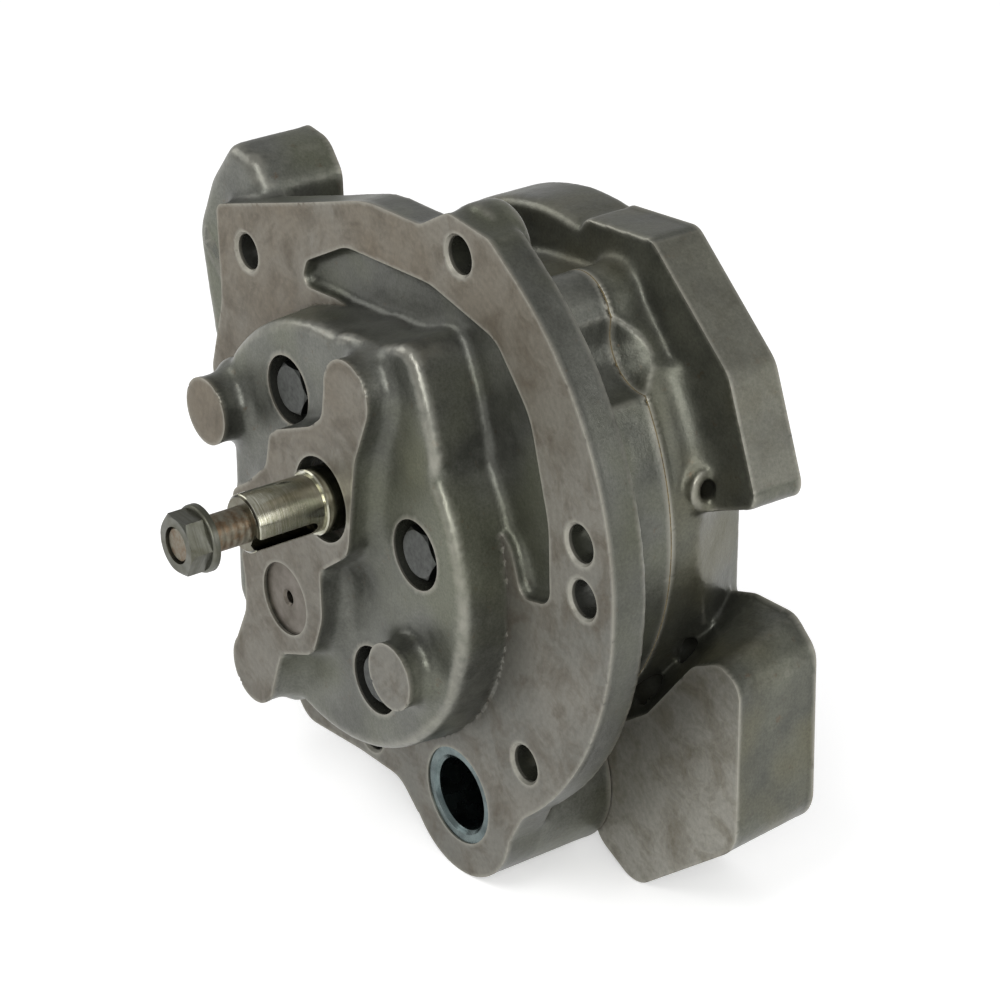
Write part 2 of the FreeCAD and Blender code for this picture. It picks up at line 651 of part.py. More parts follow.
def drive_shaft():
    """Threaded tail, keyed journal, seal and bearing diameter, in one turned bar.

    A bar's round face starts and ends along its top; the journal's is turned into the middle of the keyway.
    """
    tail = cylinder(drive_x, drive_z, stud_diameter / 2, -stud_front, -journal_front)
    tail = tail.makeChamfer(chamfer, edges_at(tail, -stud_front))
    journal = cylinder(drive_x, drive_z, journal_diameter / 2, -journal_front, -journal_shoulder)
    journal = journal.makeChamfer(chamfer, edges_at(journal, -journal_front))
    journal.rotate(Vector(drive_x, 0, drive_z), FORWARD, keyway_angle - 90)
    main = cylinder(drive_x, drive_z, shaft_radius, -journal_shoulder, shaft_far)
    main = main.makeChamfer(chamfer / 2, edges_at(main, -journal_shoulder) + edges_at(main, shaft_far))
    slot = keyway(keyway_angle, journal_diameter / 2, keyway_depth, keyway_width, -journal_front - PAST,
                  -keyway_end)
    return joined(tail, journal, main).cut([slot, gear_key_shape()])


def idler_shaft():
    near = pocket_bottom - bush_length + shaft_set_back
    bar = cylinder(idler_x, idler_z, shaft_radius, near, shaft_far)
    return bar.makeChamfer(chamfer, edges_at(bar, near) + edges_at(bar, shaft_far))


def flank(side, base, half_tooth):
    """One involute flank of a tooth that points along +X, from the base circle to the tip circle."""
    points = []
    for i in range(flank_points):
        radius = base + (tip_radius - base) * i / (flank_points - 1)
        roll = acos(min(1.0, base / radius))
        turn = half_tooth - (tan(roll) - roll)
        points.append(Vector(radius * cos(turn), 0, side * radius * sin(turn)))
    return points


def gear_outline(x, z, first_tooth, station):
    """The closed outline of a spur gear with one tooth centred on the given angle."""
    pitch_radius = module * teeth / 2
    base = pitch_radius * cos(radians(pressure_angle))
    root = pitch_radius - root_depth * module
    alpha = radians(pressure_angle)
    half_tooth = (pi * module / 2 - backlash) / (2 * pitch_radius) + tan(alpha) - alpha
    edges = []
    lower, upper = flank(-1, base, half_tooth), flank(1, base, half_tooth)
    gap = 2 * pi / teeth - 2 * half_tooth
    foot = Vector(root * cos(half_tooth), 0, root * sin(half_tooth))
    start = Vector(root * cos(half_tooth), 0, -root * sin(half_tooth))
    for tooth in range(teeth):
        turn = radians(first_tooth) + 2 * pi * tooth / teeth

        def place(point):
            return Vector(x + point.x * cos(turn) - point.z * sin(turn), station,
                          z + point.x * sin(turn) + point.z * cos(turn))

        def round_about(radius, angle):
            return place(Vector(radius * cos(angle), 0, radius * sin(angle)))
        rising, falling = Part.BSplineCurve(), Part.BSplineCurve()
        rising.interpolate([place(p) for p in lower])
        falling.interpolate([place(p) for p in reversed(upper)])
        edges.append(Part.LineSegment(place(start), place(lower[0])).toShape())
        edges.append(rising.toShape())
        edges.append(Part.Arc(place(lower[-1]), round_about(tip_radius, 0), place(upper[-1])).toShape())
        edges.append(falling.toShape())
        edges.append(Part.LineSegment(place(upper[0]), place(foot)).toShape())
        root_end = round_about(root, half_tooth + gap)
        edges.append(Part.Arc(place(foot), round_about(root, half_tooth + gap / 2), root_end).toShape())
    return Part.Wire(edges)


def gear(x, z, first_tooth):
    blank = Part.Face(gear_outline(x, z, first_tooth, gear_near)).extrude(Vector(0, gear_width, 0))
    return blank.cut(cylinder(x, z, shaft_radius, gear_near - PAST, gear_far + PAST))


def shaft_nut():
    """A flanged hexagon nut on the shaft's tail, its corners turned off at the front."""
    near, far = -nut_front, -nut_front + nut_height
    crown = cone(drive_x, drive_z, nut_flats / 2, nut_flats / 2 + nut_height * sqrt(3), near, far)
    body = hexagon(drive_x, drive_z, nut_flats, near, far).common(crown)
    collar = cylinder(drive_x, drive_z, nut_flange_diameter / 2, far - nut_flange_thickness, far)
    collar = collar.makeFillet(nut_flange_round, edges_at(collar, far - nut_flange_thickness))
    return joined(body, collar).cut(cylinder(drive_x, drive_z, stud_diameter / 2, near - PAST, far + PAST))


# ---- the assembly -------------------------------------------------------------------------------
front_bush_near = pocket_bottom - bush_length
nodes = {
    "front_housing": front_housing(),
    "rear_housing": rear_housing(),
    "joint_gasket": joint_gasket(),
    "front_wear_plate": wear_plate(pocket_bottom),
    "rear_wear_plate": wear_plate(rear_face - plate_thickness),
    "drive_front_bush": bush(drive_x, drive_z, front_bush_near),
    "drive_rear_bush": bush(drive_x, drive_z, rear_face),
    "idler_front_bush": bush(idler_x, idler_z, front_bush_near),
    "idler_rear_bush": bush(idler_x, idler_z, rear_face),
    "shaft_seal_case": seal_case(),
    "shaft_seal_lip": seal_lip(),
    "seal_garter_spring": seal_spring(),
    "seal_retaining_ring": retaining_ring(),
    "idler_bore_plug": bore_plug(),
    "plug_o_ring": plug_o_ring(),
    "port_sleeve": port_sleeve(),
    "housing_bolts": Part.makeCompound([housing_bolt(x, z) for x, z in housing_bolts]),
    "bolt_washers": Part.makeCompound([washer(x, z) for x, z in housing_bolts]),
    "dowel_pins": Part.makeCompound([dowel(x, z) for x, z in dowel_places]),
    "drive_shaft": drive_shaft(),
    "drive_gear": gear(drive_x, drive_z, mesh_direction).cut(gear_key_shape()),
    "gear_key": gear_key_shape(),
    "shaft_nut": shaft_nut(),
    "idler_shaft": idler_shaft(),
    "idler_gear": gear(idler_x, idler_z, mesh_direction + 180 + 180 / teeth),
}

os.makedirs("parts", exist_ok=True)
for name, shape in nodes.items():
    shape.exportStep("parts/" + name + ".step")
    print(name, "solids", len(shape.Solids), "valid", shape.isValid(), "volume", round(shape.Volume))
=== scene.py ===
"""Looks of a flange-mounted hydraulic gear pump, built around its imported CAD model.

Metres, +Z up, the drive shaft towards -Y, the origin at the centre of the bolt circle on the flange's face.
The two castings are rebuilt as soft as-cast skins with their machined faces and bores kept true.
Every other piece keeps its CAD mesh and takes a finish here.
"""

import json
from math import ceil, cos, pi, radians, sin

import bmesh
import bpy
import numpy as np
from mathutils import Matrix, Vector, noise
from mathutils.bvhtree import BVHTree
from mathutils.kdtree import KDTree


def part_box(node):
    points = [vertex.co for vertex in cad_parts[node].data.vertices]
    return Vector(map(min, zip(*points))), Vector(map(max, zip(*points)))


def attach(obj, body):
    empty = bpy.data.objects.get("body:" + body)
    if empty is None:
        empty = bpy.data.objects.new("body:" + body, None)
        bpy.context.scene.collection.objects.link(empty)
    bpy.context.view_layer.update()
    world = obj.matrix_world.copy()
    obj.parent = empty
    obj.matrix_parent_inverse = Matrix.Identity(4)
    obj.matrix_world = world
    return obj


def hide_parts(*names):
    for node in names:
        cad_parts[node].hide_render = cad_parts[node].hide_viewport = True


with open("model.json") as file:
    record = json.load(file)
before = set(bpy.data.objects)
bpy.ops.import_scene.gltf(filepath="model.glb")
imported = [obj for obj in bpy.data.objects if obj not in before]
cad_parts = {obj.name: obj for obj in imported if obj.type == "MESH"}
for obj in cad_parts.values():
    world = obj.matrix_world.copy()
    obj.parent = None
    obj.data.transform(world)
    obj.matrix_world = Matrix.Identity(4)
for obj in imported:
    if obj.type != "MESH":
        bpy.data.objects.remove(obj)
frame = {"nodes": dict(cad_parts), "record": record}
bpy.context.view_layer.update()

MM = 0.001
SEED_SHIFT = Vector((3.1, 7.7, 1.3))      # moves the noise patterns off their own origin

# ---- sizes of the machined places, in millimetres ----------------------------------------------
DRIVE_AXIS = (0.0, 4.5)
IDLER_AXIS = (-26.285, -47.763)
BOLT_CIRCLE_RADIUS = 114.3
MOUNT_HOLE_ANGLES = (146.7, 68.3, 11.1, 0.7, -44.6, -98.5)
HOUSING_BOLTS = ((-38.3, 31.1), (42.4, -4.6), (15.4, -68.2), (-68.0, -35.0))
OIL_BORE = (40.0, -113.6)
DELIVERY_PORT = (-121.0, 48.0)
SUCTION_PORT = (105.0, -82.0)
RETURN_PORT = (88.0, 46.0)
GEAR_POCKET_RADIUS = 34.2
WINDOWS = ((8.57, -32.54), (-34.81, -10.72))
WINDOW_RADIUS = 12.2

VOXEL = 1.15       # grid of the rebuilt skins
TRIANGLE_LIMIT = 190000


def on_bolt_circle(angle):
    return BOLT_CIRCLE_RADIUS * cos(radians(angle)), BOLT_CIRCLE_RADIUS * sin(radians(angle))


# round machined walls as (x, z, radius, allowance for a chamfered mouth)
FRONT_BORES = ([(*DRIVE_AXIS, r, 0.2) for r in (15.05, 16.5, 17.5)]
               + [(*IDLER_AXIS, r, 0.2) for r in (12.5, 14.5, 15.05)]
               + [(*on_bolt_circle(angle), 7.15, 1.1) for angle in MOUNT_HOLE_ANGLES]
               + [(*on_bolt_circle(MOUNT_HOLE_ANGLES[0]), 11.5, 0.2)]
               + [(*place, r, 0.2) for place in HOUSING_BOLTS for r in (6.3, 13.5)]
               + [(*OIL_BORE, r, 0.2) for r in (14.5, 19.3)]
               + [(*DELIVERY_PORT, 9.5, 0.2)])
REAR_BORES = [(*SUCTION_PORT, 15.9, 0.2), (*RETURN_PORT, 9.5, 0.2)]
# machined faces square to the shaft and the floors of bores, by their distance from the flange's front face
FRONT_FACES = (-32.0, 0.0, 44.0, 48.0)
FRONT_SUNK_FACES = (-23.0, -21.4, -16.0, -9.0, 0.6, 22.0)
FRONT_INSIDE = (8.0, 48.1)   # depths between which the gear pockets and windows are bored
REAR_FACES = (48.5, 87.4)
REAR_SUNK_FACES = (55.4, 67.4, 72.5, 74.0)
REAR_INSIDE = (48.6, 76.0)


# ---- mesh helpers ------------------------------------------------------------------------------
def place_in_scene(name, mesh):
    piece = bpy.data.objects.new(name, mesh)
    bpy.context.scene.collection.objects.link(piece)
    return piece


def merged_copy(node):
    """A copy of a CAD node's mesh with its loose triangles joined up."""
    joined = bmesh.new()
    joined.from_mesh(frame["nodes"][node].data)
    bmesh.ops.remove_doubles(joined, verts=joined.verts, dist=0.002 * MM)
    mesh = bpy.data.meshes.new(node + "_merged")
    joined.to_mesh(mesh)
    joined.free()
    return mesh


def with_modifier_applied(piece, kind, **settings):
    """The piece's mesh after one modifier, put back on the piece as plain geometry."""
    modifier = piece.modifiers.new(kind.lower(), kind)
    for name, value in settings.items():
        setattr(modifier, name, value)
    bpy.context.view_layer.update()
    evaluated = piece.evaluated_get(bpy.context.evaluated_depsgraph_get())
    finished = bpy.data.meshes.new_from_object(evaluated)
    piece.modifiers.clear()
    piece.data = finished
    return piece


def points_of(mesh):
    places = np.empty(len(mesh.vertices) * 3)
    mesh.vertices.foreach_get("co", places)
    return places.reshape(-1, 3)


def edges_of(mesh):
    ends = np.empty(len(mesh.edges) * 2, np.int64)
    mesh.edges.foreach_get("vertices", ends)
    return ends.reshape(-1, 2)


def neighbour_mean(values, ends, counts):
    """The mean of each vertex's neighbours, for an array of one or more columns."""
    columns = []
    for column in values.reshape(len(counts), -1).T:
        total = np.bincount(ends[:, 0], weights=column[ends[:, 1]], minlength=len(counts))
        total += np.bincount(ends[:, 1], weights=column[ends[:, 0]], minlength=len(counts))
        columns.append(total / counts)
    return np.stack(columns, 1).reshape(values.shape)


# ---- which surface a point of a casting belongs to ----------------------------------------------
AS_CAST, FACED, BORED, DRESSED = 0, 1, 2, 3    # left as cast, machined flat, bored or sunk, lightly milled
SQUARE_ON = 0.99             # a triangle that faces along the shaft this much is square to it
FACE_REACH = 0.1             # how far from its stated depth a machined face is still found
WALL_REACH = 0.4             # how far inside its stated radius a bore's wall is still found
WALL_LEAN = 0.02             # a bore's wall faces its axis; this much the other way is still let through


def surface_kinds(mesh, faces, sunk_faces, bores, inside, is_machined_side):
    """The kind of surface each triangle of a casting lies on."""
    kinds = np.full(len(mesh.polygons), AS_CAST)
    for index, polygon in enumerate(mesh.polygons):
        x, y, z = polygon.center / MM
        nx, ny, nz = polygon.normal
        if is_machined_side(polygon):
            kinds[index] = DRESSED
        elif abs(ny) > SQUARE_ON and min(abs(y - face) for face in faces) < FACE_REACH:
            kinds[index] = FACED
        elif abs(ny) > SQUARE_ON and min(abs(y - face) for face in sunk_faces) < FACE_REACH:
            kinds[index] = BORED
        elif inside[0] < y < inside[1] and (within(x, z, (DRIVE_AXIS, IDLER_AXIS), GEAR_POCKET_RADIUS)
                                            or within(x, z, WINDOWS, WINDOW_RADIUS)):
            kinds[index] = BORED
        else:
            for bx, bz, radius, allowance in bores:
                reach = np.hypot(x - bx, z - bz)
                on_wall = radius - WALL_REACH < reach < radius + allowance
                if on_wall and (x - bx) * nx + (z - bz) * nz < WALL_LEAN:
                    kinds[index] = BORED
                    break
    return kinds


def within(x, z, centres, radius):
    return min(np.hypot(x - cx, z - cz) for cx, cz in centres) < radius


def nearest_surface(places, tree, kinds, normals):
    """For each place: the nearest point of the CAD surface, that surface's normal and its kind."""
    found = np.empty_like(places)
    facing = np.empty_like(places)
    kind = np.empty(len(places), int)
    for index, place in enumerate(places):
        near, _, triangle, _ = tree.find_nearest(place)
        found[index] = near
        facing[index] = normals[triangle]
        kind[index] = kinds[triangle]
    return found, facing, kind


def machined_edges(mesh, kinds):
    """Closely spaced places along the sharp edges that bound a machined surface."""
    shape = bmesh.new()
    shape.from_mesh(mesh)
    places = []
    for edge in shape.edges:
        sides = [face.index for face in edge.link_faces]
        if len(sides) == 2 and max(kinds[sides[0]], kinds[sides[1]]) > AS_CAST \
                and edge.calc_face_angle(0) > EDGE_ANGLE:
            start, end = (corner.co for corner in edge.verts)
            pieces = ceil(edge.calc_length() / (EDGE_SPACING * MM))
            places += [start.lerp(end, i / pieces) for i in range(pieces)]
    shape.free()
    finder = KDTree(len(places))
    for index, place in enumerate(places):
        finder.insert(place, index)
    finder.balance()
    return finder


# ---- castings ----------------------------------------------------------------------------------
HUB_ROUNDS = 90              # smoothing rounds on the hub's soft blends
BODY_ROUNDS = 34             # and on the rest of the skin
CONVEX_ROUNDS = 5            # after these, places that stand out are held and only hollows go on filling
HELD = 0.07                  # what is left of a held place's movement
EDGE_ROUNDS = 4              # rounds that even out the grid on machined faces
EDGE_ANGLE = radians(25)     # an edge sharper than this is kept
EDGE_SPACING = 0.3           # spacing of the places that stand for an edge
SNAP = 0.85                  # how near an edge a point is taken to lie on it, in grid steps
WELD = 0.25                  # points nearer to each other than this are one, in grid steps
KEPT_BAND = 2.4              # no triangles are taken this near an outer machined edge, in grid steps
RIPPLE = 0.16                # height of the skin's slow waves
RIPPLE_LENGTH = 14.0         # and their length
GRAIN = 0.07                 # height of the sand's grain that the mesh can hold
GRAIN_LENGTH = 3.2           # coarser than real sand, which the mesh can't hold
NOISE_TOP = 0.75             # about as high as the noise goes, so that the skin stays inside the true surface
FINEST_VOXEL = 1.15          # the grid for which the smoothing rounds are counted
HUB_START = -0.5             # in front of this depth a point is on the hub
HOLD_EVERY = 10              # rounds between looks at which way the skin faces
SLIVER = 0.02                # shortest edge that is left in a skin
ALL_CAST = 0.99              # share of a point's neighbours that are as cast before it is roughened
INNER_REACH = 60             # inside walls lie nearer a gear's axis than this,
OUTER_REACH = 92             # and nearer the flange's middle than this,
INNER_DEPTHS = (-8, 86)      # between these depths
OUTSIDE_SHARE = 0.12         # how readily outside triangles are taken, against inside ones
WEAR_AND_HIGHLIGHT_GAIN = 7                # how soon a ridge counts as rubbed and takes a painted highlight
SOOT_AND_SHADE_GAIN = 9                # how soon a hollow counts as sooty and takes painted shade
SOOT_AND_SHADE_ROUNDS = 7              # how far the soot and painted shade spread out of a hollow
RIM_REACH = 0.08             # a point this near a machined edge lies on it
RECESS_DEPTH = 5.0           # the as-cast recess round the hub, whose floor is darkened
RECESS_REACH = 0.9           # how far from that depth its floor may wave
SIDE_BEYOND = 110            # the flange's rough side lies further out than this,
SIDE_DEPTHS = (1, 15)        # between these depths
SIDE_RIGHT_OF = 20           # and right of this
RECESS_AND_SIDE_DARKNESS = 0.42                  # how dark the recess's floor is made, and how dark the painted shade on the flange's rough right side is
DRESSED_TONE = 0.35          # how far a lightly milled side has lost its skin


def facings_of(mesh):
    facing = np.empty(len(mesh.vertices) * 3)
    mesh.vertex_normals.foreach_get("vector", facing)
    return facing.reshape(-1, 3)


def move_points(mesh, places):
    mesh.vertices.foreach_set("co", places.ravel())
    mesh.update()


def snapped_to_edges(places, finder, near_machined):
    """Moves the points beside a machined surface's sharp edge on to it; returns the places and which moved."""
    moved = np.zeros(len(places), bool)
    for index in np.flatnonzero(near_machined):
        near, _, distance = finder.find(places[index])
        if distance < SNAP * VOXEL * MM:
            places[index] = near
            moved[index] = True
    return places, moved


def softened(mesh, places, fixed, ends, counts):
    """Runs the as-cast walls into each other: hollows fill in widely, ridges keep a tight round."""
    rounds = np.where(places[:, 1] < HUB_START * MM, HUB_ROUNDS, BODY_ROUNDS)
    rounds[fixed] = 0
    rate = 0.5 * (FINEST_VOXEL / VOXEL) ** 2
    for step in range(HUB_ROUNDS):
        if step % HOLD_EVERY == CONVEX_ROUNDS:
            move_points(mesh, places)
            facing = facings_of(mesh)
        shift = rate * (neighbour_mean(places, ends, counts) - places)
        shift[rounds <= step] = 0
        if step >= CONVEX_ROUNDS:
            shift[(shift * facing).sum(1) < 0] *= HELD
        places = places + shift
    return places


def casting_skin(node, name, surfaces):
    """The casting rebuilt on a fine grid: as-cast walls run softly together, machined places stay true."""
    source = merged_copy(node)
    kinds = surface_kinds(source, *surfaces)
    normals = np.array([polygon.normal for polygon in source.polygons])
    tree = BVHTree.FromPolygons([v.co for v in source.vertices], [p.vertices for p in source.polygons])
    finder = machined_edges(source, kinds)
    low, high = (np.array(corner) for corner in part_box(node))
    skin = place_in_scene(name, source)
    with_modifier_applied(skin, "REMESH", mode="VOXEL", voxel_size=VOXEL * MM, adaptivity=0.0)

    ends = edges_of(skin.data)
    counts = np.bincount(ends.ravel(), minlength=len(skin.data.vertices))
    places, facing, kind = nearest_surface(points_of(skin.data), tree, kinds, normals)
    machined = kind > AS_CAST
    beside = machined | (neighbour_mean(machined.astype(float), ends, counts) > 0)
    places, on_edge = snapped_to_edges(places, finder, beside)
    places = softened(skin.data, places, machined | on_edge, ends, counts)
    for _ in range(EDGE_ROUNDS):
        shift = 0.5 * (neighbour_mean(places, ends, counts) - places)
        shift -= (shift * facing).sum(1, keepdims=True) * facing
        shift[on_edge | ~machined] = 0
        places += shift
    move_points(skin.data, places)
    roughen(skin.data, machined | on_edge, ends, counts)
    weld(skin.data)
    triangles = sum(len(p.vertices) - 2 for p in skin.data.polygons)
    if triangles > TRIANGLE_LIMIT:
        thin_out(skin, triangles, finder)
    move_points(skin.data, np.clip(points_of(skin.data), low, high))
    mark_surface(skin.data, tree, kinds, normals, finder)
    crease_machined_edges(skin.data)
    with_modifier_applied(skin, "WEIGHTED_NORMAL", mode="FACE_AREA", weight=60, keep_sharp=True)
    return skin


def weld(mesh):
    shape = bmesh.new()
    shape.from_mesh(mesh)
    bmesh.ops.remove_doubles(shape, verts=shape.verts, dist=WELD * VOXEL * MM)
    bmesh.ops.dissolve_degenerate(shape, edges=shape.edges, dist=SLIVER * MM)
    shape.to_mesh(mesh)
    shape.free()


def distances_to_edges(mesh, finder):
    return np.array([finder.find(vertex.co)[2] for vertex in mesh.vertices])


def crease_machined_edges(mesh):
    """Smooth shading all over, except across the sharp edges of machined faces and bores."""
    shape = bmesh.new()
    shape.from_mesh(mesh)
    rim = shape.verts.layers.float["rim"]
    for face in shape.faces:
        face.smooth = True
    for edge in shape.edges:
        on_rim = min(corner[rim] for corner in edge.verts) > 0.5
        edge.smooth = not (on_rim and edge.calc_face_angle(0) > EDGE_ANGLE)
    shape.to_mesh(mesh)
    shape.free()


def roughen(mesh, fixed, ends, counts):
    """Sinks as-cast points by the slow waves and the grain that sand leaves on iron."""
    places = points_of(mesh)
    cast = neighbour_mean((~fixed).astype(float), ends, counts)
    height = np.zeros(len(places))
    for index in np.flatnonzero(cast > ALL_CAST):
        at = Vector(places[index]) / MM
        height[index] = (RIPPLE * (noise.noise(at / RIPPLE_LENGTH + SEED_SHIFT) - NOISE_TOP)
                         + GRAIN * (noise.noise(at / GRAIN_LENGTH + SEED_SHIFT) - NOISE_TOP))
    move_points(mesh, places + facings_of(mesh) * (height * MM)[:, None])


def thin_out(skin, triangles, finder):
    """Brings a skin under its triangle limit, taking the triangles from its inside walls first."""
    group = skin.vertex_groups.new(name="inside")
    places = points_of(skin.data) / MM
    deep = np.zeros(len(places), bool)
    for ax, az in (DRIVE_AXIS, IDLER_AXIS):
        deep |= np.hypot(places[:, 0] - ax, places[:, 2] - az) < INNER_REACH
    deep &= (places[:, 1] > INNER_DEPTHS[0]) & (places[:, 1] < INNER_DEPTHS[1])
    deep &= np.hypot(places[:, 0], places[:, 2]) <= OUTER_REACH
    group.add(np.flatnonzero(deep).tolist(), 1.0, "REPLACE")
    kept = distances_to_edges(skin.data, finder) < KEPT_BAND * VOXEL * MM
    group.add(np.flatnonzero(~deep & ~kept).tolist(), OUTSIDE_SHARE, "REPLACE")
    with_modifier_applied(skin, "DECIMATE", decimate_type="COLLAPSE", ratio=TRIANGLE_LIMIT / triangles,
                          vertex_group="inside", vertex_group_factor=1.0)
    skin.vertex_groups.clear()


def mark_surface(mesh, tree, kinds, normals, finder):
    """Stores on each vertex if it is machined or bored, how far it stands out (rubbed wear and painted
    highlight) and how hollow it is (soot and painted shade).
    """
    places = points_of(mesh)
    ends = edges_of(mesh)
    counts = np.maximum(np.bincount(ends.ravel(), minlength=len(places)), 1)
    _, surface_facing, kind = nearest_surface(places, tree, kinds, normals)
    facing = facings_of(mesh)
    lean = neighbour_mean(places, ends, counts) - places
    reach = np.sqrt(((places[ends[:, 0]] - places[ends[:, 1]]) ** 2).sum(1))
    length = (np.bincount(ends[:, 0], weights=reach, minlength=len(places))
              + np.bincount(ends[:, 1], weights=reach, minlength=len(places))) / counts
    # ridges are lightened for rubbed wear and as a painted highlight, hollows are darkened for soot and as
    # painted shade
    bend = (lean * facing).sum(1) / length
    wear_and_highlight = np.clip(-bend * WEAR_AND_HIGHLIGHT_GAIN, 0, 1)
    soot_and_shade = np.clip(bend * SOOT_AND_SHADE_GAIN, 0, 1)
    wear_and_highlight = 0.5 * wear_and_highlight + 0.5 * neighbour_mean(wear_and_highlight, ends, counts)
    for _ in range(SOOT_AND_SHADE_ROUNDS):
        soot_and_shade = 0.5 * soot_and_shade + 0.5 * neighbour_mean(soot_and_shade, ends, counts)
    rim = distances_to_edges(mesh, finder) < RIM_REACH * MM
    agrees = (facing * surface_facing).sum(1) > 0.5
    machined = (rim | ((kind > AS_CAST) & (agrees | (kind == BORED)))).astype(float)
    machined[(kind == DRESSED) & agrees] = DRESSED_TONE
    x, y, z = (places / MM).T
    # the recess's floor is darkened, and the flange's rough side facing right is darkened as painted shade
    floor = (np.abs(y - RECESS_DEPTH) < RECESS_REACH) & (facing[:, 1] < -0.8) & ~rim
    flange_side = (np.hypot(x, z) > SIDE_BEYOND) & (np.abs(facing[:, 1]) < 0.5) & (x > SIDE_RIGHT_OF)
    flange_side &= (y > SIDE_DEPTHS[0]) & (y < SIDE_DEPTHS[1])
    soot_and_shade = np.maximum(soot_and_shade, np.where(floor | flange_side, RECESS_AND_SIDE_DARKNESS, 0.0))
    soot_and_shade = 0.5 * soot_and_shade + 0.5 * neighbour_mean(soot_and_shade, ends, counts)
    marks = {"machined": machined, "bored": (kind == BORED) & ~rim, "wear_and_highlight": wear_and_highlight, "soot_and_shade": soot_and_shade,
             "rim": rim}
    for name, values in marks.items():
        layer = mesh.attributes.new(name, "FLOAT", "POINT")
        layer.data.foreach_set("value", values.astype(np.float32))


BLOCK_LEAN = (0.76, 0.65)    # the way the return block's slanted sides face, right and up
BLOCK_BEYOND = 112           # they lie further that way than this,
BLOCK_DEPTHS = (66, 87.2)    # between these depths
BLOCK_FACING = 0.93          # and face that way at least this much


def no_side(polygon):
    return False


def return_block_side(polygon):
    """The return block's slanted outer sides, milled across in the direction of the shaft."""
    x, y, z = polygon.center / MM
    right, up = BLOCK_LEAN
    outward = polygon.normal[0] * right + polygon.normal[2] * up
    beyond = x * right + z * up > BLOCK_BEYOND
    return BLOCK_DEPTHS[0] < y < BLOCK_DEPTHS[1] and beyond and outward > BLOCK_FACING


front_skin = casting_skin("front_housing", "front_casting",
                          (FRONT_FACES, FRONT_SUNK_FACES, FRONT_BORES, FRONT_INSIDE, no_side))
rear_skin = casting_skin("rear_housing", "rear_casting",
                         (REAR_FACES, REAR_SUNK_FACES, REAR_BORES, REAR_INSIDE, return_block_side))
for skin, node, finish in ((front_skin, "front_housing", "cast_iron"),
                           (rear_skin, "rear_housing", "cast_iron_rear")):
    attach(skin, "housing")
    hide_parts(node)


# ---- finishes ----------------------------------------------------------------------------------
def linear(hex_colour):
    """An sRGB hex colour as linear RGBA."""
    channels = [int(hex_colour[i:i + 2], 16) / 255 for i in (1, 3, 5)]
    return [c / 12.92 if c <= 0.04045 else ((c + 0.055) / 1.055) ** 2.4 for c in channels] + [1.0]


def add_node(material, kind, settings=None, inputs=None):
    """Adds a node; an input is a value, a hex colour, or the output of another node to link from."""
    made = material.node_tree.nodes.new(kind)
    for name, value in (settings or {}).items():
        setattr(made, name, value)
    for socket, value in (inputs or {}).items():
        if isinstance(value, bpy.types.NodeSocket):
            material.node_tree.links.new(value, made.inputs[socket])
        else:
            made.inputs[socket].default_value = linear(value) if isinstance(value, str) else value
    return made


# what a Mix node mixes, and what a maths node works out
COLOURS = {"data_type": "RGBA"}
NUMBERS = {"data_type": "FLOAT"}
DIRECTIONS = {"data_type": "VECTOR"}
SCALED = {"operation": "SCALE"}
PRODUCT = {"operation": "MULTIPLY"}
DIFFERENCE = {"operation": "SUBTRACT"}
TIMES_PLUS = {"operation": "MULTIPLY_ADD"}


def new_finish(name):
    material = bpy.data.materials.new(name)
    material.use_nodes = True
    material.node_tree.nodes.clear()
    return material


def per_mm(size):
    """The Noise and Wave scale that makes a pattern of that size in millimetres."""
    return 1 / (size * MM)


# The noise patterns of the iron: size in mm, detail, roughness and distortion, then the stretch of the noise
# that counts and what it is turned into. Grain and fleck are drawn several times coarser than moulding sand
# and the flecks of a milled face, which are too fine to show.
IRON_PATTERNS = {
    "mottle": (26, 4.0, 0.6, 0.0, (0.36, 0.66), (0.0, 1.0)),      # light and dark clouds in the skin
    "drift": (48, 2.0, 0.6, 0.0, (0.44, 0.62), (0.0, 0.8)),       # olive drifts of old oil
    "rust": (5.5, 6.0, 0.7, 0.0, (0.62, 0.72), (0.0, 0.5)),       # specks of rust
    "grain": (1.1, 3.0, 0.7, 0.0, (0.3, 0.7), (0.8, 1.18)),       # the sand's grain
    "patches": (55, 3.0, 0.55, 0.0, (0.4, 0.62), (0.0, 0.75)),    # pale patches on machined faces
    "stains": (15, 6.0, 0.66, 0.5, (0.46, 0.68), (0.0, 0.75)),    # brown stains of dried oil
    "fleck": (2.2, 5.0, 0.75, 0.0, (0.3, 0.7), (0.84, 1.16)),     # fine flecks of a milled face
}
PIT_SIZE = 2.6
PIT_DEPTH = 0.35             # depth of the pits against the grain
BROWNED_ACROSS = 75          # the flange goes from brown to grey over this far each side of its middle
WET_AND_SHADED_BORE = 0.55              # how dark a bore is against the skin: wet oil and painted shade inside it
# rust is the iron's own colour; the pale tone is rubbed wear with a painted highlight on outer edges, the
# near-black tone soot with painted shade in hollows
RUST, RUBBED_AND_HIGHLIT_IRON, SOOT_AND_SHADE_TONE = "#5b4632", "#a5a398", "#23221e"


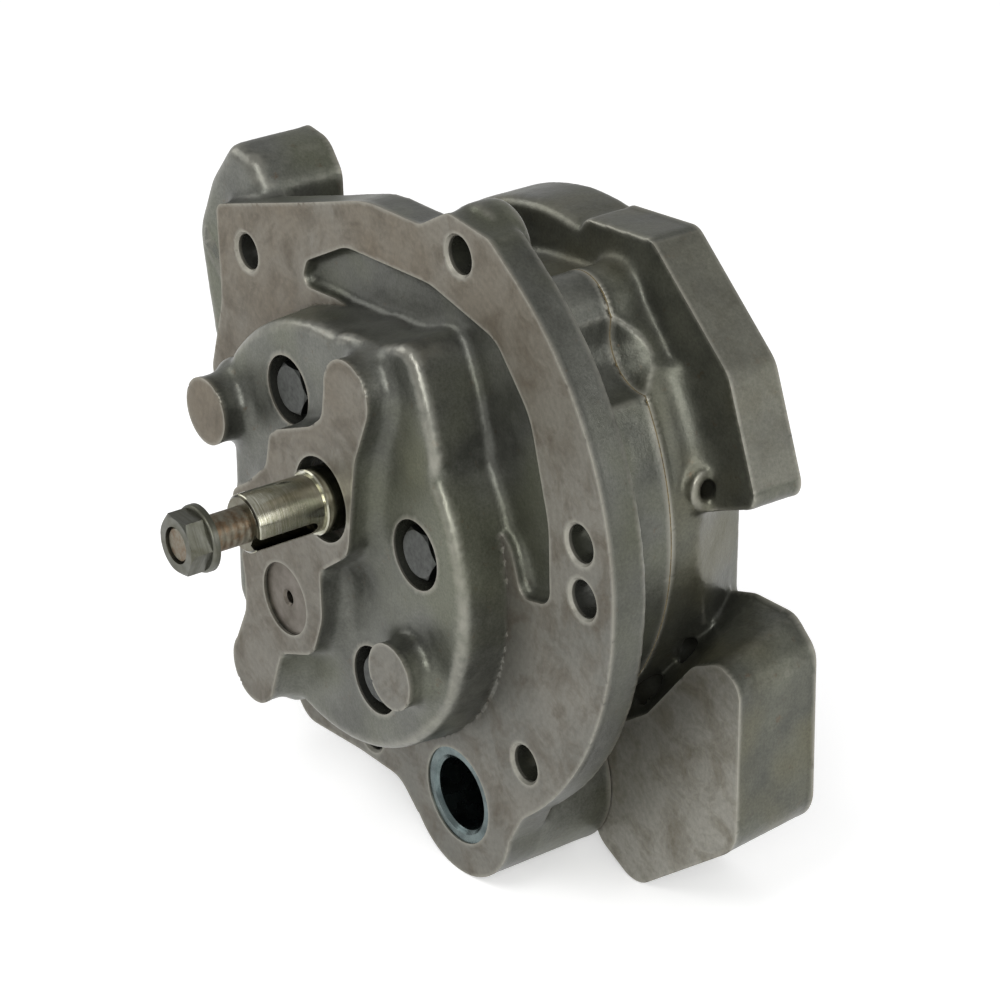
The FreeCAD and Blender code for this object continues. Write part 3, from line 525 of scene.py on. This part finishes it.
def iron_casting(name, skin_tones, face_tones, stain, marks):
    """Grey iron, sand cast and machined in places.

    The skin is dark, finely pitted and half glossy with oil; machined faces are paler, warmer and blotched with
    dried oil. Bores are darkened for wet oil and painted shade, hollows for soot and painted shade, and every
    outer edge is lightened for rubbed wear and a painted highlight.
    """
    material = new_finish(name)
    place = add_node(material, "ShaderNodeTexCoord").outputs["Object"]
    machined, bored, wear_and_highlight, soot_and_shade = (
        add_node(material, "ShaderNodeAttribute", {"attribute_name": kept}).outputs["Fac"]
        for kept in ("machined", "bored", "wear_and_highlight", "soot_and_shade"))
    noises, tones = {}, {}
    for pattern, (size, detail, rough, distortion, (low, high), (to_low, to_high)) in IRON_PATTERNS.items():
        noises[pattern] = add_node(material, "ShaderNodeTexNoise", inputs={
            "Vector": place, "Scale": per_mm(size), "Detail": detail, "Roughness": rough,
            "Distortion": distortion}).outputs["Fac"]
        tones[pattern] = add_node(material, "ShaderNodeMapRange", inputs={
            "Value": noises[pattern], "From Min": low, "From Max": high,
            "To Min": to_low, "To Max": to_high}).outputs["Result"]

    # the skin: mottled, with oil drifts and rust over it
    skin = skin_tones[0]
    for amount, tone in ((tones["mottle"], skin_tones[1]), (tones["drift"], skin_tones[2]),
                         (tones["rust"], RUST)):
        skin = add_node(material, "ShaderNodeMix", COLOURS, {
            "Factor": amount, "A": skin, "B": tone}).outputs["Result"]
    skin = add_node(material, "ShaderNodeVectorMath", SCALED, {
        0: skin, "Scale": tones["grain"]}).outputs["Vector"]

    # machined faces: brown at the upper left running to grey at the lower right, with patches and stains
    across = add_node(material, "ShaderNodeVectorMath", {"operation": "DOT_PRODUCT"}, {
        0: place, 1: (0.7, 0.0, -0.7)}).outputs["Value"]
    across = add_node(material, "ShaderNodeMapRange", inputs={
        "Value": across, "From Min": -BROWNED_ACROSS * MM, "From Max": BROWNED_ACROSS * MM}).outputs["Result"]
    face = face_tones[0]
    for amount, tone in ((across, face_tones[1]), (tones["patches"], face_tones[2]),
                         (tones["stains"], stain)):
        face = add_node(material, "ShaderNodeMix", COLOURS, {
            "Factor": amount, "A": face, "B": tone}).outputs["Result"]
    # the cutter's lines, in rings round the middle of its sweep
    lines_place = add_node(material, "ShaderNodeMapping", inputs={
        "Vector": place, "Location": marks["centre"]}).outputs["Vector"]
    lines = add_node(material, "ShaderNodeTexWave", {"wave_type": "RINGS", "rings_direction": "Y"}, {
        "Vector": lines_place, "Scale": per_mm(marks["spacing"]) / (2 * pi), "Distortion": marks["waviness"],
        "Detail": 4.0, "Detail Scale": 1.5, "Detail Roughness": 0.7}).outputs["Fac"]
    line_tone = add_node(material, "ShaderNodeMapRange", inputs={
        "Value": lines, "To Min": 1 - marks["tone"], "To Max": 1 + marks["tone"]}).outputs["Result"]
    for amount in (tones["fleck"], line_tone):
        face = add_node(material, "ShaderNodeVectorMath", SCALED, {0: face, "Scale": amount}).outputs["Vector"]

    # over both: bores darkened for oil and painted shade, outer edges lightened for wear and a painted
    # highlight, hollows darkened for soot and painted shade
    # bores darkened for wet oil and as painted shade inside them
    wet_and_shaded = add_node(material, "ShaderNodeVectorMath", SCALED, {0: skin, "Scale": WET_AND_SHADED_BORE}).outputs["Vector"]
    # outer edges lightened for rubbed wear and as a painted highlight
    wear_and_highlight_share = add_node(material, "ShaderNodeMapRange", inputs={
        "Value": wear_and_highlight, "From Min": 0.1, "To Max": 0.72}).outputs["Result"]
    # hollows darkened with soot and with painted shade
    soot_and_shade_share = add_node(material, "ShaderNodeMapRange", inputs={
        "Value": soot_and_shade, "To Max": 0.75}).outputs["Result"]
    colour = skin
    for amount, tone in ((machined, face), (bored, wet_and_shaded), (wear_and_highlight_share, RUBBED_AND_HIGHLIT_IRON), (soot_and_shade_share, SOOT_AND_SHADE_TONE)):
        colour = add_node(material, "ShaderNodeMix", COLOURS, {
            "Factor": amount, "A": colour, "B": tone}).outputs["Result"]

    skin_gloss = add_node(material, "ShaderNodeMapRange", inputs={
        "Value": tones["mottle"], "To Min": 0.3, "To Max": 0.44}).outputs["Result"]
    face_gloss = add_node(material, "ShaderNodeMapRange", inputs={
        "Value": tones["stains"], "To Min": 0.44, "To Max": 0.52}).outputs["Result"]
    roughness = skin_gloss
    for amount, gloss in ((machined, face_gloss), (bored, 0.22)):
        roughness = add_node(material, "ShaderNodeMix", NUMBERS, {
            "Factor": amount, "A": roughness, "B": gloss}).outputs["Result"]
    metallic = add_node(material, "ShaderNodeMapRange", inputs={
        "Value": machined, "To Min": 0.72, "To Max": 0.62}).outputs["Result"]

    pits = add_node(material, "ShaderNodeTexVoronoi", inputs={
        "Vector": place, "Scale": per_mm(PIT_SIZE), "Randomness": 1.0}).outputs["Distance"]
    bumps = []
    for high, share, low, strength, depth in ((pits, PIT_DEPTH, noises["grain"], 0.5, 0.16),
                                              (lines, marks["depth"], noises["fleck"], 0.3, 0.05)):
        height = add_node(material, "ShaderNodeMath", TIMES_PLUS, {0: high, 1: share, 2: low}).outputs["Value"]
        bumps.append(add_node(material, "ShaderNodeBump", inputs={
            "Height": height, "Strength": strength, "Distance": depth * MM}).outputs["Normal"])
    normal = add_node(material, "ShaderNodeMix", DIRECTIONS, {
        "Factor": machined, "A": bumps[0], "B": bumps[1]}).outputs["Result"]
    shader = add_node(material, "ShaderNodeBsdfPrincipled", inputs={
        "Base Color": colour, "Roughness": roughness, "Metallic": metallic, "Normal": normal})
    add_node(material, "ShaderNodeOutputMaterial", inputs={"Surface": shader.outputs[0]})
    return material


# The cutter's marks: centre of the rings in metres, spacing in millimetres, waviness, tone and depth. The
# spacing is several times a real cutter's feed, which is too fine to show.
FACE_MILLED = {"centre": (0.0, 0.0, 0.0), "spacing": 1.7, "waviness": 5.0, "tone": 0.03, "depth": 0.35}
BLOCK_GROUND = {"centre": (-0.122, 0.0, 0.078), "spacing": 2.1, "waviness": 14.0, "tone": 0.05, "depth": 1.2}
# dark oily skin; the milled flange and island are flat brown-grey with brown oil stains
front_iron = iron_casting("sand cast grey iron, face milled", ("#52534d", "#6f7069", "#616354"),
                          ("#685f50", "#686760", "#76736a"), "#51493c", FACE_MILLED)
# a little darker and greener skin; the ground blocks are paler, with swirled hair lines that catch the light
rear_iron = iron_casting("sand cast grey iron, rough ground", ("#4f5049", "#65665b", "#5f5d4c"),
                         ("#747264", "#85837a", "#8f8d84"), "#635d4e", BLOCK_GROUND)
for skin, iron in ((front_skin, front_iron), (rear_skin, rear_iron)):
    skin.data.materials.clear()
    skin.data.materials.append(iron)


FILM_SIZE = 9                # patches of the oil film
FILM_DULLS = 0.2             # how much the film adds to the roughness
RINGS_DRAWN_OUT = 0.06       # the turning marks are stretched this way across the axis


def turned_steel(name, pale, dark, roughness, turning, film_colour, film_amount, shaft=False):
    """Metal turned or ground round the shaft: fine rings round the axis, with a thin film of oil in patches."""
    material = new_finish(name)
    place = add_node(material, "ShaderNodeTexCoord").outputs["Object"]
    stretched = add_node(material, "ShaderNodeMapping", inputs={
        "Vector": place, "Scale": (RINGS_DRAWN_OUT, 1.0, RINGS_DRAWN_OUT)}).outputs["Vector"]
    rings = add_node(material, "ShaderNodeTexNoise", inputs={
        "Vector": stretched, "Scale": per_mm(turning), "Detail": 4.0, "Roughness": 0.7}).outputs["Fac"]
    film = add_node(material, "ShaderNodeTexNoise", inputs={
        "Vector": place, "Scale": per_mm(FILM_SIZE), "Detail": 4.0, "Roughness": 0.6}).outputs["Fac"]
    film = add_node(material, "ShaderNodeMapRange", inputs={
        "Value": film, "From Min": 0.42, "From Max": 0.68, "To Max": film_amount}).outputs["Result"]
    ring_tone = add_node(material, "ShaderNodeMapRange", inputs={
        "Value": rings, "From Min": 0.3, "From Max": 0.7}).outputs["Result"]
    colour = dark
    for amount, tone in ((ring_tone, pale), (film, film_colour)):
        colour = add_node(material, "ShaderNodeMix", COLOURS, {
            "Factor": amount, "A": colour, "B": tone}).outputs["Result"]
    gloss = add_node(material, "ShaderNodeMapRange", inputs={
        "Value": film, "To Min": roughness, "To Max": roughness + FILM_DULLS}).outputs["Result"]
    height = rings
    if shaft:
        colour, gloss, height = rusty_tail_and_keyway_shade(material, place, colour, gloss, height)
    bump = add_node(material, "ShaderNodeBump", inputs={
        "Height": height, "Strength": 0.25, "Distance": 0.02 * MM}).outputs["Normal"]
    shader = add_node(material, "ShaderNodeBsdfPrincipled", inputs={
        "Base Color": colour, "Roughness": gloss, "Metallic": 1.0, "Normal": bump})
    add_node(material, "ShaderNodeOutputMaterial", inputs={"Surface": shader.outputs[0]})
    return material


KEYWAY_FLOOR_RADIUS = 10.85  # anything nearer the axis than this, along the journal, lies in the keyway
TAIL_START = -66.0           # in front of it the shaft is the rough threaded tail
THREAD_PITCH = 1.5
THREAD_HEIGHT = 14.0         # height of the thread against the fine turning marks
TAIL_ROUGHNESS = 0.42
# dull steel and brown rust for the threaded tail; a near-black tone as painted shade on the keyway's floor
DULL_STEEL, BROWN_RUST, KEYWAY_SHADE_TONE = "#7b776a", "#6a5a48", "#38362c"


def rusty_tail_and_keyway_shade(material, place, colour, gloss, height):
    """The shaft's rusty threaded tail, and painted shade on the floor of its keyway."""
    parts = add_node(material, "ShaderNodeSeparateXYZ", inputs={"Vector": place}).outputs
    level = add_node(material, "ShaderNodeMath", DIFFERENCE, {
        0: parts["Z"], 1: DRIVE_AXIS[1] * MM}).outputs["Value"]
    squares = add_node(material, "ShaderNodeMath", PRODUCT, {0: level, 1: level}).outputs["Value"]
    squares = add_node(material, "ShaderNodeMath", TIMES_PLUS, {
        0: parts["X"], 1: parts["X"], 2: squares}).outputs["Value"]
    radius = add_node(material, "ShaderNodeMath", {"operation": "SQRT"}, {0: squares}).outputs["Value"]
    tail = add_node(material, "ShaderNodeMapRange", inputs={
        "Value": parts["Y"], "From Min": (TAIL_START + 0.1) * MM,
        "From Max": (TAIL_START - 0.1) * MM}).outputs["Result"]
    deep = add_node(material, "ShaderNodeMapRange", inputs={
        "Value": radius, "From Min": KEYWAY_FLOOR_RADIUS * MM,
        "From Max": (KEYWAY_FLOOR_RADIUS - 0.15) * MM}).outputs["Result"]
    on_journal = add_node(material, "ShaderNodeMath", DIFFERENCE, {0: 1.0, 1: tail}).outputs["Value"]
    in_keyway = add_node(material, "ShaderNodeMath", PRODUCT, {0: deep, 1: on_journal}).outputs["Value"]
    rust = add_node(material, "ShaderNodeTexNoise", inputs={
        "Vector": place, "Scale": per_mm(3.5), "Detail": 5.0, "Roughness": 0.7}).outputs["Fac"]
    rust = add_node(material, "ShaderNodeMapRange", inputs={
        "Value": rust, "From Min": 0.4, "From Max": 0.62}).outputs["Result"]
    tail_tone = add_node(material, "ShaderNodeMix", COLOURS, {
        "Factor": rust, "A": DULL_STEEL, "B": BROWN_RUST}).outputs["Result"]
    # the keyway's floor is painted near black as shade
    for amount, tone in ((tail, tail_tone), (in_keyway, KEYWAY_SHADE_TONE)):
        colour = add_node(material, "ShaderNodeMix", COLOURS, {
            "Factor": amount, "A": colour, "B": tone}).outputs["Result"]
    gloss = add_node(material, "ShaderNodeMix", NUMBERS, {
        "Factor": tail, "A": gloss, "B": TAIL_ROUGHNESS}).outputs["Result"]
    thread = add_node(material, "ShaderNodeTexWave", {"wave_type": "BANDS", "bands_direction": "Y"}, {
        "Vector": place, "Scale": per_mm(THREAD_PITCH) / (2 * pi)}).outputs["Fac"]
    thread = add_node(material, "ShaderNodeMath", PRODUCT, {0: thread, 1: tail}).outputs["Value"]
    height = add_node(material, "ShaderNodeMath", TIMES_PLUS, {
        0: thread, 1: THREAD_HEIGHT, 2: height}).outputs["Value"]
    return colour, gloss, height


def plain_part(name, base, shade, roughness, metallic, grain, depth):
    """A dull part with an even, slightly mottled surface."""
    material = new_finish(name)
    place = add_node(material, "ShaderNodeTexCoord").outputs["Object"]
    fleck = add_node(material, "ShaderNodeTexNoise", inputs={
        "Vector": place, "Scale": per_mm(grain), "Detail": 5.0, "Roughness": 0.65}).outputs["Fac"]
    amount = add_node(material, "ShaderNodeMapRange", inputs={
        "Value": fleck, "From Min": 0.35, "From Max": 0.65}).outputs["Result"]
    colour = add_node(material, "ShaderNodeMix", COLOURS, {
        "Factor": amount, "A": base, "B": shade}).outputs["Result"]
    gloss = add_node(material, "ShaderNodeMapRange", inputs={
        "Value": fleck, "To Min": roughness - 0.08, "To Max": roughness + 0.1}).outputs["Result"]
    bump = add_node(material, "ShaderNodeBump", inputs={
        "Height": fleck, "Strength": 0.5, "Distance": depth * MM}).outputs["Normal"]
    shader = add_node(material, "ShaderNodeBsdfPrincipled", inputs={
        "Base Color": colour, "Roughness": gloss, "Metallic": metallic, "Normal": bump})
    add_node(material, "ShaderNodeOutputMaterial", inputs={"Surface": shader.outputs[0]})
    return material


# Turning and grinding marks are drawn at 0.5 to 0.9 mm, far coarser than real ones, which are too fine to show.
FINISHES = {
    # smooth cylinder with sharp bands of light along it, under a straw and olive oil film
    "ground_steel": turned_steel("ground steel pin", "#c9c8c2", "#a5a49e", 0.16, 0.5, "#6d6a48", 0.5),
    # handled steel: grey, with broad soft highlights
    "nut_steel": turned_steel("turned steel nut, dull", "#6f6f68", "#55564f", 0.34, 0.8, "#4c4b3a", 0.6),
    # brown-grey disc that nearly matches the iron round it
    "plug_steel": turned_steel("turned steel plug, dull", "#77716a", "#625d55", 0.38, 0.9, "#4f493f", 0.6),
    # blue-grey bore with a bright rim, wet with oil
    "sleeve_steel": turned_steel("honed steel sleeve", "#74807f", "#566263", 0.22, 0.6, "#333b3c", 0.6),
    # near-black heads that shine only where they face the light
    "black_bolt_steel": plain_part("black oxide steel bolt", "#363735", "#4d4f4c", 0.3, 0.95, 2.4, 0.05),
    # clean pale steel with an oily sheen on the teeth
    "gear_steel": turned_steel("hobbed and shaved steel", "#b4b3ad", "#8f8e88", 0.26, 0.7, "#6a6550", 0.4),
    # brown-gold metal, dulled by oil
    "bearing_bronze": turned_steel("leaded bearing bronze", "#b98b4f", "#93693a", 0.34, 0.8, "#5e4527", 0.4),
    # even, softly shining brown-gold plate
    "bronze_plate": plain_part("lapped bronze plate", "#b08750", "#94703f", 0.38, 0.9, 3.0, 0.02),
    # dry brown line between the castings, with a fibrous edge
    "gasket": plain_part("compressed fibre gasket", "#4a4230", "#7a6d4b", 0.85, 0.0, 1.2, 0.1),
    # plain grey sheet steel, smooth from the press
    "pressed_steel": plain_part("pressed steel seal case", "#6c6c68", "#7c7b76", 0.35, 0.9, 4.0, 0.02),
    # matt black that takes up the light
    "seal_rubber": plain_part("moulded nitrile rubber", "#161616", "#222220", 0.55, 0.0, 1.0, 0.03),
    # dark grey wire with small bright highlights
    "spring_steel": plain_part("blued spring steel", "#4a4a4c", "#63635f", 0.32, 0.9, 2.0, 0.02),
}
# bright journal with straw and olive oil film, painted shade in the keyway, and a dull rusty threaded tail
shaft_steel = turned_steel("ground steel shaft", "#cac9be", "#929079", 0.15, 0.5, "#5f5c3a", 0.65, shaft=True)
for entry in frame["record"]["subparts"]:
    finish = FINISHES.get(entry["material_slot"])
    if entry["node"] == "drive_shaft":
        finish = shaft_steel
    if finish:
        for slot in frame["nodes"][entry["node"]].material_slots:
            slot.material = finish


# ---- floor, light and camera --------------------------------------------------------------------
FLOOR_SIZE = 12.0
FLOOR_LIFT = 0.42            # what the floor gives to the eye on top of the light that falls on it
ROOM_LIGHT = 0.52            # strength of the white room round the pump

lowest = min(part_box(node)[0].z for node in frame["nodes"])
plane = bmesh.new()
bmesh.ops.create_grid(plane, x_segments=1, y_segments=1, size=FLOOR_SIZE / 2)
bmesh.ops.translate(plane, verts=plane.verts, vec=(0, 0, lowest))
floor_mesh = bpy.data.meshes.new("floor")
plane.to_mesh(floor_mesh)
plane.free()
floor = place_in_scene("floor", floor_mesh)

# matt white painted board: even and shadow-keeping
paint = new_finish("matt white board")
path = add_node(paint, "ShaderNodeLightPath")
seen = add_node(paint, "ShaderNodeMath", {"operation": "MAXIMUM"}, {
    0: path.outputs["Is Camera Ray"], 1: path.outputs["Is Glossy Ray"]}).outputs["Value"]
lift = add_node(paint, "ShaderNodeMath", PRODUCT, {0: seen, 1: FLOOR_LIFT}).outputs["Value"]
board = add_node(paint, "ShaderNodeBsdfDiffuse", inputs={"Color": "#efefef"})
glow = add_node(paint, "ShaderNodeEmission", inputs={"Color": "#ffffff", "Strength": lift})
both = add_node(paint, "ShaderNodeAddShader", inputs={0: board.outputs[0], 1: glow.outputs[0]})
add_node(paint, "ShaderNodeOutputMaterial", inputs={"Surface": both.outputs[0]})
floor_mesh.materials.append(paint)

world = bpy.data.worlds.new("white studio")
bpy.context.scene.world = world
world.use_nodes = True
world.node_tree.nodes.clear()
room = add_node(world, "ShaderNodeBackground", inputs={"Color": "#ffffff", "Strength": ROOM_LIGHT})
add_node(world, "ShaderNodeOutputWorld", inputs={"Surface": room.outputs[0]})


def soft_box(name, place, target, width, height, watts):
    lamp = bpy.data.lights.new(name, "AREA")
    lamp.shape = "RECTANGLE"
    lamp.size = width
    lamp.size_y = height
    lamp.energy = watts
    holder = bpy.data.objects.new(name, lamp)
    holder.location = place
    holder.rotation_euler = (Vector(target) - Vector(place)).to_track_quat("-Z", "Y").to_euler()
    bpy.context.scene.collection.objects.link(holder)


soft_box("key light", (0.45, -1.1, 1.45), (0, 0, 0), 0.8, 0.8, 9.5)
soft_box("front light", (1.3, -0.9, 0.75), (0.05, 0, 0), 0.7, 0.7, 11.0)
soft_box("right light", (1.35, 0.55, 0.6), (0.05, 0.05, 0), 0.3, 1.0, 4.0)
soft_box("left light", (-1.3, -0.7, 0.8), (0, 0, 0), 0.9, 0.9, 5.0)

VIEW_AZIMUTH = 53.27
VIEW_ELEVATION = 26.3
VIEW_PLACE = (0.9297, -0.6440, 0.5534)
FOCAL_LENGTH = 122.2
camera_data = bpy.data.cameras.new("camera")
camera_data.lens = FOCAL_LENGTH
camera_data.sensor_width = 36.0
camera = bpy.data.objects.new("camera", camera_data)
camera.location = VIEW_PLACE
camera.rotation_euler = (radians(90 - VIEW_ELEVATION), 0, radians(VIEW_AZIMUTH))
bpy.context.scene.collection.objects.link(camera)
bpy.context.scene.camera = camera
bpy.context.scene.view_settings.view_transform = "Standard"

bpy.context.view_layer.update()
